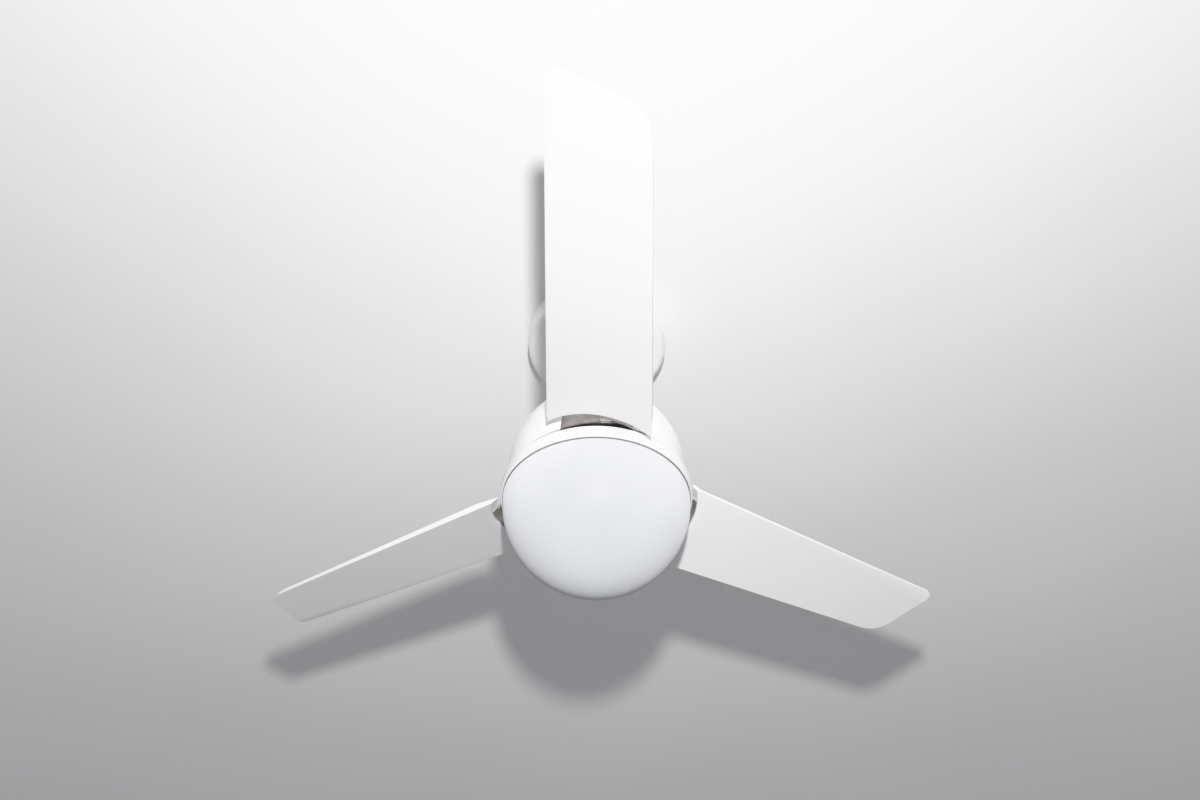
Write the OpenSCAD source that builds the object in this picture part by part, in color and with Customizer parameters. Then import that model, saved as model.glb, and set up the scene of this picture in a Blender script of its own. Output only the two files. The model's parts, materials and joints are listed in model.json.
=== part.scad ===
// Three-blade ceiling fan with an opal bowl light, in millimetres.
// The origin is the centre of the ceiling plate's upper face, +Z points up and blade 1 points to -Y.

/* [Hanging] */
// Distance from the ceiling down to the seam between light ring and bowl
drop = 325; // [300:5:420]
// Outer radius of the downrod
rod_r = 11; // [10.5:0.5:13]
// Distance between the two ceiling screws
screw_spacing = 83; // [70:1:100]

/* [Canopy] */
// Outer radius of the canopy at the ceiling
canopy_r = 97; // [85:1:105]
// Height of the canopy
canopy_h = 44; // [40:1:60]

/* [Upper cover] */
// Outer radius of the domed cover over the motor
cover_r = 107; // [104:1:112]
// Height of the dome's centre over the seam
cover_rise = 52; // [48:1:60]
// Gap between light ring and cover, which the blade arms pass through
cover_gap = 9; // [7:0.5:12]

/* [Light] */
// Outer radius of the opal bowl
bowl_r = 110; // [107:0.5:110]
// Wall of the opal bowl
bowl_wall = 3.5; // [2.5:0.5:5]
// Outer radius of the light ring
ring_r = 113; // [113:0.5:116]
// Height of the light ring
ring_h = 15.5; // [14:0.5:17]

/* [Blades] */
// Distance from the axis to the middle of the curved root edge
root_s = 130; // [129:0.5:134]
// Distance from the axis to the tip's leading corner
tip_lead_s = 510; // [400:5:650]
// How much shorter the trailing side is than the leading side
tip_cut = 33; // [10:1:60]
// Half-width on the leading side at the root
root_lead = 57; // [45:1:65]
// Half-width on the trailing side at the root
root_trail = 62.5; // [45:0.5:66]
// Half-width on the leading side at the tip
tip_lead = 42.5; // [30:0.5:60]
// Half-width on the trailing side at the tip
tip_trail = 48.5; // [30:0.5:60]
// Pitch of the blade, leading edge up, in degrees
pitch = 12.5; // [8:0.5:14]
// Thickness of the blade's panel
blade_t = 3.5; // [3:0.5:5]

/* [Hidden] */
$fn = 96;
eps = 0.01;
over = 1;

// Heights, measured from the ceiling
z_seam = -drop;
ring_z = z_seam + 2;
ring_top = ring_z + ring_h;
cover_z = z_seam + cover_rise;
cover_bottom = ring_top + cover_gap;
blade_z = z_seam + 16.6;
arm_t = 2.5;
arm_z = blade_z + blade_t / cos(pitch);
rotor_base = arm_z + arm_t;

// Motor
motor_r = 84;
ring_in = 70.5;
stator_r = 70;
dish_floor = 5;
lip_t = 2;
rim_h = 12;
stack_h = 36;
rotor_ring_h = 44;
rotor_ring_z = rotor_base + rim_h;
rotor_top_z = rotor_ring_z + rotor_ring_h;
stator_z = rotor_ring_z + rotor_ring_h / 2;
rotor_crown = rotor_top_z + rim_h + lip_t;
bolt_pcd_r = 77;
bolt_r = 2;
hole_play = 0.1;
between_blades = -30;
poles = 12;
hub_r = 34;
tooth_w = 10;
shoe_w = 26;
shoe_in = 62;
coil_from = 37;
coil_to = 59;
coil_t = 3;
coil_over = 4;

// Bearings: 17 mm bore, 40 mm outside, 12 mm wide
brg_w = 12;
brg_in = 8.5;
brg_out = 20;
ball_r = 3.375;
ball_pitch_r = 14.25;
balls = 9;
race_in = 12.2;
race_out = 16.3;
housing_t = 5;
brg_low_z = rotor_base + lip_t + brg_w / 2;
brg_high_z = rotor_crown - lip_t - brg_w / 2;
shaft_bore = 5.5;

// Downrod and hanger
rod_bore = 8.6;
rod_top = -12;
pin_z = -24;
pin_r = 3;
pin_head = 4.5;
pin_nut = 5;
pin_tail = 9;
pin_hex = 6;
bush_r = 4.5;
bush_len = 26;
plate_t = 2.5;
bar_w = 32;
bar_half = canopy_r - 4.5;
ear_h = 26;
side_screw_z = -18;
side_hole_r = 1.9;
ceiling_hole_r = 2.75;
supply_r = 8;
supply_y = 60;
yoke_x = 17;
yoke_w = 30;
yoke_t = 2.5;
shaft_top = rotor_crown + 38;
rod_bottom = rotor_crown + 8;
rod_bolt_z = rod_bottom + 14;
rod_bolt_r = 2.5;
rod_hex = 5;
rod_head = 3.5;
rod_nut_h = 4;
rod_tail = 6;

// Terminal block, capacitor and the four leads
block = [32, 9, 12];
block_y = 26;
port_r = 3;
port_z = -plate_t - 7;
ports = [-12, -4, 4, 12];
cap_size = [28, 34, 20];
cap_y = -80;
cap_plug_r = 1.5;
lead_r = 0.9;
lead_in = [3.7, 1.7];
lead_up = [[1.4, 6.2], [4.2, 6.2]];
lead_bend_low = shaft_top + 10;
lead_bend_high = -60;
lead_end_y = 32;

// Canopy
canopy_gap = 0.8;
canopy_wall = 2;
canopy_hole = 19;
canopy_round = 9;

// Light kit
kit_t = 2;
kit_z = z_seam + 5;
kit_top = kit_z + kit_t;
kit_r = 108;
kit_screw_r = 101;
kit_hole_r = 1.7;
kit_thread_r = 1.5;
kit_first = 30;
shaft_tail = 10;
lock_h = 7;
lock_hex = 14;
sleeve_r = 12;
shelf_t = 3;
shelf_in = 98;
shelf_thread = 2.5;
ring_wall = 2.4;
ring_round = 1.8;
neck = 4;
clip_from = 84;
clip_out = bowl_r - bowl_wall - 0.8;
clip_w = 12;
clip_t = 1;
clip_drop = 12;
lamp_z = z_seam - 25;
lamp_y = 36;
holder_x = 62;
holder_len = 42;
holder_r = 19;
holder_floor = 10;
socket_r = 13.6;
holder_plate = [2, 32];
holder_foot = 12;
cap_r = 13.2;
cap_len = 31.5;
collar_r = 15;
collar_len = 12;
globe_r = 23;
globe_at = 55;

// Cover fixings
post_r = 6.5;
post_ring = 55;
post_bore = 2.2;
post_seat = cover_z + sqrt(pow(cover_r, 2) - pow(post_ring, 2)) - 5;
seat_r = 4.8;
boss_r = 8;
boss_thread = 4;
cover_wall = 2.5;
cover_play = 3;

// Blade arms: rows across the plate, each a distance, how far its sides lie back, a half-width,
// and 0 where it is flat under the motor or 1 where it is pitched with the blade
arm_half = 20;
arm_end = 172;
arm_rows = [
    [58, 0, arm_half, 0],
    [84, 0, 40, 0],
    [112, 9, 40, 0],
    [127.5, 11.5, 40, 1],
    [150, 0, arm_half, 1],
    [arm_end, 0, arm_half, 1]
];
arm_cols = 4;
arm_slot = [118.5, 6, 14];
arm_slot_r = 3.2;
arm_hole_r = 2.1;
arm_screw_s = 70;
arm_screw_t = [-12, 12];
arm_thread = 4.5;
arm_holes = [[146, -11], [146, 11], [180, 0]];
screw_r = 2;
head_r = 4;
head_h = 2.2;

// Blade corners, and the crease from which the leading edge curls up
lead_corner_r = 9;
trail_corner_r = 36;
root_start = 100;
root_round = 90;
root_centre = [root_s - root_round, 3];
p_root_lead = [root_start, -root_lead];
p_tip_lead = [tip_lead_s, -tip_lead];
p_tip_trail = [tip_lead_s - tip_cut, tip_trail];
p_root_trail = [root_start, root_trail];
crease_from = [200, -53.5];
crease_to = [510, -24];
crease_before = 150;
crease_run = 520;
panel_reach = 140;
curl_r = 90;
curl_angle = 20;
curl_steps = 8;
rim_t = 2.5;
root_rim = 8;
root_rim_t = 3.5;
rim_seat = 0.4;
root_reach = 20;
rim_lean = [4, 7.5];
rim_notch = 42;
screw_depth = 2.5;

white = [0.95, 0.95, 0.95];
opal = [0.93, 0.94, 0.95];
steel = [0.66, 0.64, 0.61];
bright = [0.78, 0.78, 0.78];
dark = [0.2, 0.2, 0.21];
copper = [0.72, 0.42, 0.22];
cast = [0.7, 0.7, 0.71];

// ---------- shared shapes ----------

module tube(r, bore, z, h) {
    translate([0, 0, z])
        difference() {
            cylinder(r = r, h = h);
            translate([0, 0, -over])
                cylinder(r = bore, h = h + 2 * over);
        }
}

module hex(r, h) {
    cylinder(r = r, h = h, $fn = 6);
}

module spaced(count, radius, first = 0) {
    for (i = [0 : count - 1])
        rotate([0, 0, first + i * 360 / count])
            translate([radius, 0, 0])
                children();
}

module at_blade(i) {
    rotate([0, 0, -90 + 120 * (i - 1)])
        children();
}

module pitched() {
    translate([0, 0, blade_z])
        rotate([-pitch, 0, 0])
            children();
}

module pan_screw(shank_r, shank, head_r, head_h) {
    cylinder(r = shank_r, h = shank);
    translate([0, 0, -head_h])
        difference() {
            cylinder(r = head_r, h = head_h);
            for (a = [0, 90])
                rotate([0, 0, a])
                    translate([-head_r * 0.6, -0.4, -over])
                        cube([head_r * 1.2, 0.8, over + head_h * 0.5]);
        }
}

// ---------- ceiling fixing ----------

module ceiling_bracket() {
    color(steel)
        difference() {
            union() {
                translate([-bar_w / 2, -bar_half, -plate_t])
                    cube([bar_w, 2 * bar_half, plate_t]);
                for (s = [0, 1])
                    mirror([0, s, 0])
                        translate([-bar_w / 2, bar_half - plate_t, -ear_h])
                            cube([bar_w, plate_t, ear_h]);
            }
            for (s = [-1, 1])
                translate([0, s * screw_spacing / 2, -plate_t - over])
                    cylinder(r = ceiling_hole_r, h = plate_t + 2 * over);
            translate([0, supply_y, -plate_t - over])
                cylinder(r = supply_r, h = plate_t + 2 * over);
            translate([0, -bar_half - over, side_screw_z])
                rotate([-90, 0, 0])
                    cylinder(r = side_hole_r, h = 2 * bar_half + 2 * over);
        }
}

module hanger_yoke() {
    color(steel)
        difference() {
            union() {
                translate([-yoke_x, -yoke_w / 2, -2 * plate_t])
                    cube([2 * yoke_x, yoke_w, plate_t]);
                for (s = [0, 1])
                    mirror([s, 0, 0])
                        translate([yoke_x - yoke_t, 0, pin_z]) {
                            translate([0, -yoke_w / 2, 0])
                                cube([yoke_t, yoke_w, -plate_t - pin_z]);
                            rotate([0, 90, 0])
                                cylinder(r = yoke_w / 2, h = yoke_t);
                        }
            }
            translate([-yoke_x - over, 0, pin_z])
                rotate([0, 90, 0])
                    cylinder(r = pin_r, h = 2 * yoke_x + 2 * over);
        }
}

module hanger_pin() {
    color(bright)
        translate([0, 0, pin_z])
            rotate([0, 90, 0]) {
                translate([0, 0, -yoke_x])
                    cylinder(r = pin_r, h = 2 * yoke_x + pin_tail);
                translate([0, 0, -yoke_x - pin_head])
                    hex(pin_hex, pin_head);
            }
}

module hanger_nut() {
    color(bright)
        translate([yoke_x, 0, pin_z])
            rotate([0, 90, 0])
                difference() {
                    hex(pin_hex, pin_nut);
                    translate([0, 0, -over])
                        cylinder(r = pin_r, h = pin_nut + 2 * over);
                }
}

module terminal_block() {
    color(white)
        difference() {
            translate([-block[0] / 2, block_y, -plate_t - block[2]])
                cube(block);
            for (x = ports)
                translate([x, block_y - over, port_z])
                    rotate([-90, 0, 0])
                        cylinder(r = port_r, h = block[1] + 2 * over);
        }
}

module capacitor() {
    color(dark)
        difference() {
            translate([-cap_size[0] / 2, cap_y, -plate_t - cap_size[2]])
                cube(cap_size);
            for (s = [-1, 1])
                translate([s * cap_size[0] / 3, cap_y + cap_size[1] / 2, -plate_t - cap_size[2] - over])
                    cylinder(r = cap_plug_r, h = 5 + over);
        }
}

// ---------- canopy ----------

module pan_profile(r, h, edge) {
    intersection() {
        union() {
            square([r - edge, h]);
            translate([0, edge])
                square([r, h - edge]);
            translate([r - edge, edge])
                circle(r = edge);
        }
        square([r, h]);
    }
}

module canopy() {
    inner_r = canopy_r - canopy_wall;
    color(white)
        translate([0, 0, -canopy_h])
            difference() {
                rotate_extrude()
                    difference() {
                        pan_profile(canopy_r, canopy_h - canopy_gap, canopy_round);
                        translate([0, canopy_wall])
                            pan_profile(inner_r, canopy_h, canopy_round - canopy_wall);
                        square([canopy_hole, canopy_wall + over]);
                    }
                for (s = [0, 1])
                    mirror([0, s, 0])
                        translate([0, inner_r - over, canopy_h + side_screw_z])
                            rotate([-90, 0, 0])
                                cylinder(r = side_hole_r, h = canopy_wall + 2 * over);
            }
}

module canopy_screws() {
    color(bright)
        for (s = [0, 1])
            mirror([0, s, 0])
                translate([0, canopy_r, side_screw_z])
                    rotate([90, 0, 0])
                        pan_screw(side_hole_r - hole_play, canopy_wall + 1.5, 3.6, 2);
}

// ---------- hanging, fixed side ----------

module downrod() {
    color(white)
        difference() {
            tube(rod_r, rod_bore, rod_bottom, rod_top - rod_bottom);
            translate([-rod_r - over, 0, pin_z])
                rotate([0, 90, 0])
                    cylinder(r = bush_r, h = 2 * rod_r + 2 * over);
            translate([0, -rod_r - over, rod_bolt_z])
                rotate([-90, 0, 0])
                    cylinder(r = rod_bolt_r, h = 2 * rod_r + 2 * over);
        }
}

module hanger_bush() {
    color(dark)
        translate([0, 0, pin_z])
            rotate([0, 90, 0])
                tube(bush_r, pin_r + hole_play / 2, -bush_len / 2, bush_len);
}

module rod_bolt() {
    color(bright)
        translate([0, 0, rod_bolt_z])
            rotate([-90, 0, 0]) {
                translate([0, 0, -rod_r])
                    cylinder(r = rod_bolt_r, h = 2 * rod_r + rod_tail);
                translate([0, 0, -rod_r - rod_head])
                    hex(rod_hex, rod_head);
            }
}

module rod_nut() {
    color(bright)
        translate([0, rod_r, rod_bolt_z])
            rotate([-90, 0, 0])
                difference() {
                    hex(rod_hex, rod_nut_h);
                    translate([0, 0, -over])
                        cylinder(r = rod_bolt_r, h = rod_nut_h + 2 * over);
                }
}

module motor_shaft() {
    color(bright)
        difference() {
            tube(brg_in, shaft_bore, kit_z - shaft_tail, shaft_top - kit_z + shaft_tail);
            translate([0, -brg_in - over, rod_bolt_z])
                rotate([-90, 0, 0])
                    cylinder(r = rod_bolt_r, h = 2 * brg_in + 2 * over);
        }
}

module stator_core() {
    color(steel)
        translate([0, 0, stator_z - stack_h / 2])
            difference() {
                union() {
                    cylinder(r = hub_r, h = stack_h);
                    for (i = [0 : poles - 1])
                        rotate([0, 0, i * 360 / poles]) {
                            translate([hub_r - 4, -tooth_w / 2, 0])
                                cube([shoe_in - hub_r + 6, tooth_w, stack_h]);
                            intersection() {
                                tube(stator_r, shoe_in, 0, stack_h);
                                translate([shoe_in - 7, -shoe_w / 2, -over])
                                    cube([20, shoe_w, stack_h + 2 * over]);
                            }
                        }
                }
                translate([0, 0, -over])
                    cylinder(r = brg_in, h = stack_h + 2 * over);
            }
}

module stator_coils() {
    coil_h = stack_h + 2 * coil_over;
    coil_w = tooth_w + 2 * coil_t;
    coil_len = coil_to - coil_from;
    color(copper)
        for (i = [0 : poles - 1])
            rotate([0, 0, i * 360 / poles])
                translate([coil_from, 0, stator_z])
                    difference() {
                        translate([0, -coil_w / 2, -coil_h / 2])
                            cube([coil_len, coil_w, coil_h]);
                        translate([-over, -tooth_w / 2, -stack_h / 2])
                            cube([coil_len + 2 * over, tooth_w, stack_h]);
                    }
}

module race(inner, outer, z) {
    translate([0, 0, z])
        rotate_extrude()
            difference() {
                translate([inner, -brg_w / 2])
                    square([outer - inner, brg_w]);
                translate([ball_pitch_r, 0])
                    circle(r = ball_r + 0.06);
            }
}

module bearing_inner_races() {
    color(bright)
        for (z = [brg_low_z, brg_high_z])
            race(brg_in, race_in, z);
}

module bearing_outer_races() {
    color(bright)
        for (z = [brg_low_z, brg_high_z])
            race(race_out, brg_out, z);
}

module bearing_balls() {
    color(bright)
        for (z = [brg_low_z, brg_high_z])
            translate([0, 0, z])
                spaced(balls, ball_pitch_r)
                    sphere(r = ball_r);
}

module spacer_sleeve() {
    color(bright)
        tube(sleeve_r, brg_in, kit_top, brg_low_z - brg_w / 2 - kit_top);
}

module light_plate() {
    color(steel)
        difference() {
            tube(kit_r, brg_in, kit_z, kit_t);
            translate([0, 0, kit_z - over])
                spaced(3, kit_screw_r, kit_first)
                    cylinder(r = kit_hole_r, h = kit_t + 2 * over);
        }
}

module lock_nut() {
    color(bright)
        translate([0, 0, kit_z - lock_h])
            difference() {
                hex(lock_hex, lock_h);
                translate([0, 0, -over])
                    cylinder(r = brg_in, h = lock_h + 2 * over);
            }
}

module light_ring() {
    wall_in = ring_r - ring_wall;
    color(white)
        difference() {
            translate([0, 0, ring_z])
                rotate_extrude() {
                    difference() {
                        pan_profile(ring_r, ring_h, ring_round);
                        translate([0, -over])
                            square([wall_in, ring_h + 2 * over]);
                    }
                    translate([shelf_in, kit_top - ring_z])
                        square([wall_in - shelf_in + eps, shelf_t]);
                }
            translate([0, 0, kit_top - over])
                spaced(3, kit_screw_r, kit_first)
                    cylinder(r = kit_thread_r, h = shelf_thread + over);
        }
}

module ring_screws() {
    color(bright)
        translate([0, 0, kit_z])
            spaced(3, kit_screw_r, kit_first)
                pan_screw(kit_thread_r, kit_t + shelf_thread, 3.2, 2);
}

module bowl_clips() {
    color(bright)
        spaced(3, 0, 90) {
            translate([clip_from, -clip_w / 2, kit_z - clip_t])
                cube([clip_out - clip_from, clip_w, clip_t]);
            translate([clip_out - clip_t, -clip_w / 2, kit_z - clip_drop])
                cube([clip_t, clip_w, clip_drop]);
        }
}

module holder_brackets() {
    below = 12;
    color(steel)
        for (a = [0, 180])
            rotate([0, 0, a]) {
                translate([-holder_x - holder_plate[0], lamp_y - holder_plate[1] / 2, lamp_z - below])
                    cube([holder_plate[0], holder_plate[1], kit_z - lamp_z + below]);
                translate([-holder_x, lamp_y - holder_plate[1] / 2, kit_z - holder_plate[0]])
                    cube([holder_foot, holder_plate[1], holder_plate[0]]);
            }
}

module lamp_holders() {
    color(white)
        for (a = [0, 180])
            rotate([0, 0, a])
                translate([-holder_x, lamp_y, lamp_z])
                    rotate([0, 90, 0])
                        difference() {
                            cylinder(r = holder_r, h = holder_len);
                            translate([0, 0, holder_floor])
                                cylinder(r = socket_r, h = holder_len);
                        }
}

module lamps() {
    color(opal)
        for (a = [0, 180])
            rotate([0, 0, a])
                translate([-holder_x + holder_floor + 1, lamp_y, lamp_z])
                    rotate([0, 90, 0]) {
                        cylinder(r = cap_r, h = cap_len);
                        translate([0, 0, cap_len])
                            cylinder(r = collar_r, h = collar_len);
                        translate([0, 0, globe_at])
                            sphere(r = globe_r);
                    }
}

module strand(p, q) {
    d = q - p;
    translate(p)
        rotate([0, acos(d[2] / norm(d)), atan2(d[1], d[0])])
            cylinder(r = lead_r, h = norm(d));
}

module lead(path) {
    for (i = [1 : len(path) - 1])
        strand(path[i - 1], path[i]);
    for (i = [1 : len(path) - 2])
        translate(path[i])
            sphere(r = lead_r + hole_play);
}

module leads() {
    color(dark)
        for (i = [0 : 3]) {
            side = i < 2 ? -1 : 1;
            outer = i == 0 || i == 3 ? 1 : 0;
            x = side * lead_in[0];
            y = outer == 1 ? lead_in[1] : -lead_in[1];
            up = lead_up[outer];
            lead([
                [x, y, kit_z - shaft_tail + over],
                [x, y, lead_bend_low],
                [side * up[0], up[1], lead_bend_high],
                [side * up[0], up[1], port_z],
                [ports[i], lead_end_y, port_z]
            ]);
        }
}

// ---------- turning side ----------

module upper_cover() {
    inner_r = cover_r - cover_wall;
    wall_h = cover_z - cover_bottom;
    color(white)
        difference() {
            union() {
                difference() {
                    union() {
                        translate([0, 0, cover_z])
                            sphere(r = cover_r);
                        translate([0, 0, cover_bottom])
                            cylinder(r = cover_r, h = wall_h);
                    }
                    translate([0, 0, cover_z])
                        sphere(r = inner_r);
                    translate([0, 0, cover_bottom - cover_r])
                        cylinder(r = inner_r, h = cover_r + wall_h);
                    translate([0, 0, cover_bottom - 2 * cover_r])
                        cylinder(r = 2 * cover_r, h = 2 * cover_r);
                }
                intersection() {
                    translate([0, 0, rotor_crown])
                        spaced(3, post_ring, between_blades)
                            cylinder(r = post_r, h = cover_r);
                    translate([0, 0, cover_z])
                        sphere(r = cover_r - cover_wall / 2);
                }
            }
            translate([0, 0, cover_z])
                cylinder(r = rod_r + cover_play, h = cover_r + over);
            translate([0, 0, rotor_crown - over])
                spaced(3, post_ring, between_blades)
                    cylinder(r = post_bore, h = cover_r);
            translate([0, 0, post_seat])
                spaced(3, post_ring, between_blades)
                    cylinder(r = seat_r, h = cover_r);
        }
}

module cover_screws() {
    color(bright)
        translate([0, 0, post_seat])
            spaced(3, post_ring, between_blades)
                rotate([180, 0, 0])
                    pan_screw(screw_r, post_seat - rotor_crown + boss_thread, head_r, head_h);
}

module rotor_dish(floor_z, wall_z, lip_z, lip_r, brg_z) {
    rotate_extrude() {
        translate([brg_out, floor_z])
            square([motor_r - brg_out, dish_floor]);
        translate([ring_in + 1, wall_z])
            square([motor_r - ring_in - 1, rim_h]);
        translate([lip_r, lip_z])
            square([brg_out + housing_t - lip_r, lip_t]);
        translate([brg_out, brg_z - brg_w / 2])
            square([housing_t, brg_w]);
    }
}

module rotor_holes() {
    translate([0, 0, rotor_base - over])
        spaced(3, bolt_pcd_r, between_blades)
            cylinder(r = bolt_r + hole_play, h = rotor_crown - rotor_base + 2 * over);
}

module rotor_bottom() {
    color(cast)
        difference() {
            rotor_dish(rotor_base, rotor_base, rotor_base, 14, brg_low_z);
            rotor_holes();
            for (i = [1 : 3])
                at_blade(i)
                    for (t = arm_screw_t)
                        translate([arm_screw_s, t, rotor_base - over])
                            cylinder(r = screw_r, h = arm_thread + over);
        }
}

module rotor_top() {
    crown = rotor_crown - lip_t;
    color(cast)
        difference() {
            union() {
                rotor_dish(crown - dish_floor, rotor_top_z, crown, 12, brg_high_z);
                translate([0, 0, crown - eps])
                    spaced(3, post_ring, between_blades)
                        cylinder(r = boss_r, h = lip_t + eps);
            }
            rotor_holes();
            translate([0, 0, rotor_crown - boss_thread])
                spaced(3, post_ring, between_blades)
                    cylinder(r = screw_r, h = boss_thread + over);
        }
}

module rotor_ring() {
    color(steel)
        difference() {
            tube(motor_r - 1, ring_in, rotor_ring_z, rotor_ring_h);
            rotor_holes();
        }
}

module rotor_bolts() {
    color(bright)
        translate([0, 0, rotor_base])
            spaced(3, bolt_pcd_r, between_blades)
                pan_screw(bolt_r, rotor_crown - rotor_base - 3, head_r, head_h);
}

function arm_place(s, t, h, is_pitched) =
    is_pitched == 0
    ? [s, t, arm_z + h]
    : [s, t * cos(pitch) + (blade_t + h) * sin(pitch), blade_z - t * sin(pitch) + (blade_t + h) * cos(pitch)];

function arm_grid(h) = [
    for (row = arm_rows)
        for (k = [0 : arm_cols])
            let (u = 2 * k / arm_cols - 1)
                arm_place(row[0] - row[1] * u * u, row[2] * u, h, row[3])
];

module arm_plate() {
    last = len(arm_rows) - 1;
    cols = arm_cols + 1;
    layer = cols * len(arm_rows);
    grid = concat(arm_grid(0), arm_grid(arm_t));
    skins = [
        for (i = [0 : last - 1])
            for (k = [0 : arm_cols - 1])
                let (a = i * cols + k, b = a + 1, c = a + cols, d = c + 1)
                    each [
                        [a, c, d],
                        [a, d, b],
                        [a + layer, d + layer, c + layer],
                        [a + layer, b + layer, d + layer]
                    ]
    ];
    sides = [
        for (i = [0 : last - 1])
            let (a = i * cols, b = a + cols, c = a + arm_cols, d = c + cols)
                each [
                    [a, a + layer, b + layer],
                    [a, b + layer, b],
                    [c, d + layer, c + layer],
                    [c, d, d + layer]
                ]
    ];
    ends = [
        for (k = [0 : arm_cols - 1])
            let (c = last * cols + k)
                each [
                    [k, k + 1, k + 1 + layer, k + layer],
                    [c, c + layer, c + 1 + layer, c + 1]
                ]
    ];
    polyhedron(grid, concat(skins, sides, ends));
}

module blade_arm() {
    color(steel)
        difference() {
            union() {
                arm_plate();
                pitched()
                    translate([arm_end, 0, blade_t])
                        cylinder(r = arm_half, h = arm_t);
            }
            for (t = arm_screw_t)
                translate([arm_screw_s, t, arm_z - over])
                    cylinder(r = arm_hole_r, h = arm_t + 2 * over);
            for (t = [arm_slot[1], arm_slot[2]])
                translate([arm_slot[0], t, arm_z - 10])
                    cylinder(r = arm_slot_r, h = 20);
            translate([arm_slot[0] - arm_slot_r, arm_slot[1], arm_z - 10])
                cube([2 * arm_slot_r, arm_slot[2] - arm_slot[1], 20]);
            pitched()
                for (p = arm_holes)
                    translate([p[0], p[1], blade_t - over])
                        cylinder(r = arm_hole_r, h = arm_t + 2 * over);
        }
}

module arm_screws() {
    color(bright)
        for (i = [1 : 3])
            at_blade(i)
                for (t = arm_screw_t)
                    translate([arm_screw_s, t, arm_z])
                        pan_screw(screw_r, arm_t + arm_thread, head_r, head_h);
}

module blade_screws() {
    color(bright)
        for (i = [1 : 3])
            at_blade(i)
                pitched()
                    for (p = arm_holes)
                        translate([p[0], p[1], blade_t + arm_t])
                            rotate([180, 0, 0])
                                pan_screw(screw_r, arm_t + screw_depth, head_r, head_h);
}

// Outline of a blade: s runs outwards along the axis, t from the leading to the trailing side

function unit(v) = v / norm(v);
function toward(p, q) = unit(q - p);
function half_angle(p, a, b) = acos(toward(p, a) * toward(p, b)) / 2;
function tangent(p, a, b, r) = p + toward(p, a) * r / tan(half_angle(p, a, b));
function fillet_centre(p, a, b, r) =
    p + unit(toward(p, a) + toward(p, b)) * r / sin(half_angle(p, a, b));

module blade_outline() {
    difference() {
        union() {
            polygon([
                p_root_lead,
                tangent(p_tip_lead, p_root_lead, p_tip_trail, lead_corner_r),
                tangent(p_tip_lead, p_tip_trail, p_root_lead, lead_corner_r),
                tangent(p_tip_trail, p_tip_lead, p_root_trail, trail_corner_r),
                tangent(p_tip_trail, p_root_trail, p_tip_lead, trail_corner_r),
                p_root_trail
            ]);
            translate(fillet_centre(p_tip_lead, p_root_lead, p_tip_trail, lead_corner_r))
                circle(r = lead_corner_r);
            translate(fillet_centre(p_tip_trail, p_tip_lead, p_root_trail, trail_corner_r))
                circle(r = trail_corner_r);
        }
        translate(root_centre)
            circle(r = root_round);
    }
}

function curl(r, a) = [-r * sin(a), curl_r - r * cos(a)];

module panel_section() {
    under = [for (i = [0 : curl_steps]) curl(curl_r, i * curl_angle / curl_steps)];
    upper = [for (i = [curl_steps : -1 : 0]) curl(curl_r - blade_t, i * curl_angle / curl_steps)];
    polygon(concat([[panel_reach, 0]], under, upper, [[panel_reach, blade_t]]));
}

module trailing_rim() {
    edge = toward(p_root_trail, p_tip_trail);
    run = norm(p_tip_trail - p_root_trail) - trail_corner_r;
    translate(concat(p_root_trail, 0))
        rotate([0, 0, atan2(edge[1], edge[0])])
            rotate([90, 0, 0])
                linear_extrude(rim_t)
                    polygon([[0, 0], [run, 0], [run, blade_t + 0.5], [0, root_rim]]);
}

// Wall along the root edge that leans towards the motor as it rises

module leaning_wall(lean) {
    translate(concat(root_centre, 0))
        rotate_extrude()
            polygon([
                [root_round + rim_seat, blade_t / 2],
                [root_round + rim_seat + root_rim_t, blade_t / 2],
                [root_round + root_rim_t - lean, root_rim],
                [root_round - lean, root_rim]
            ]);
}

module root_rims() {
    intersection() {
        linear_extrude(root_rim + over)
            offset(delta = -rim_seat)
                polygon([
                    p_root_lead + toward(p_tip_lead, p_root_lead) * root_reach,
                    p_tip_lead,
                    p_tip_trail,
                    p_root_trail + toward(p_tip_trail, p_root_trail) * root_reach
                ]);
        union() {
            intersection() {
                leaning_wall(rim_lean[0]);
                translate([0, -2 * root_s, 0])
                    cube([2 * root_s, 2 * root_s - rim_notch, root_rim + over]);
            }
            intersection() {
                leaning_wall(rim_lean[1]);
                translate([0, rim_notch, 0])
                    cube([2 * root_s, 2 * root_s, root_rim + over]);
            }
        }
    }
}

module blade() {
    lean = atan2(crease_to[1] - crease_from[1], crease_to[0] - crease_from[0]);
    color(white)
        difference() {
            union() {
                intersection() {
                    translate([0, 0, -over])
                        linear_extrude(30)
                            blade_outline();
                    union() {
                        translate(concat(crease_from, 0))
                            rotate([0, 0, lean])
                                translate([-crease_before, 0, 0])
                                    rotate([90, 0, 90])
                                        linear_extrude(crease_run)
                                            panel_section();
                        trailing_rim();
                    }
                }
                root_rims();
            }
            for (p = arm_holes)
                translate([p[0], p[1], blade_t - screw_depth])
                    cylinder(r = screw_r, h = root_rim + screw_depth);
        }
}

// ---------- glass ----------

module glass_bowl() {
    inner_r = bowl_r - bowl_wall;
    color(opal)
        translate([0, 0, z_seam])
            rotate_extrude()
                difference() {
                    union() {
                        intersection() {
                            circle(r = bowl_r);
                            translate([0, -bowl_r])
                                square([bowl_r, bowl_r]);
                        }
                        square([bowl_r, neck]);
                    }
                    circle(r = inner_r);
                    translate([0, -eps])
                        square([inner_r, neck + over]);
                }
}

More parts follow.
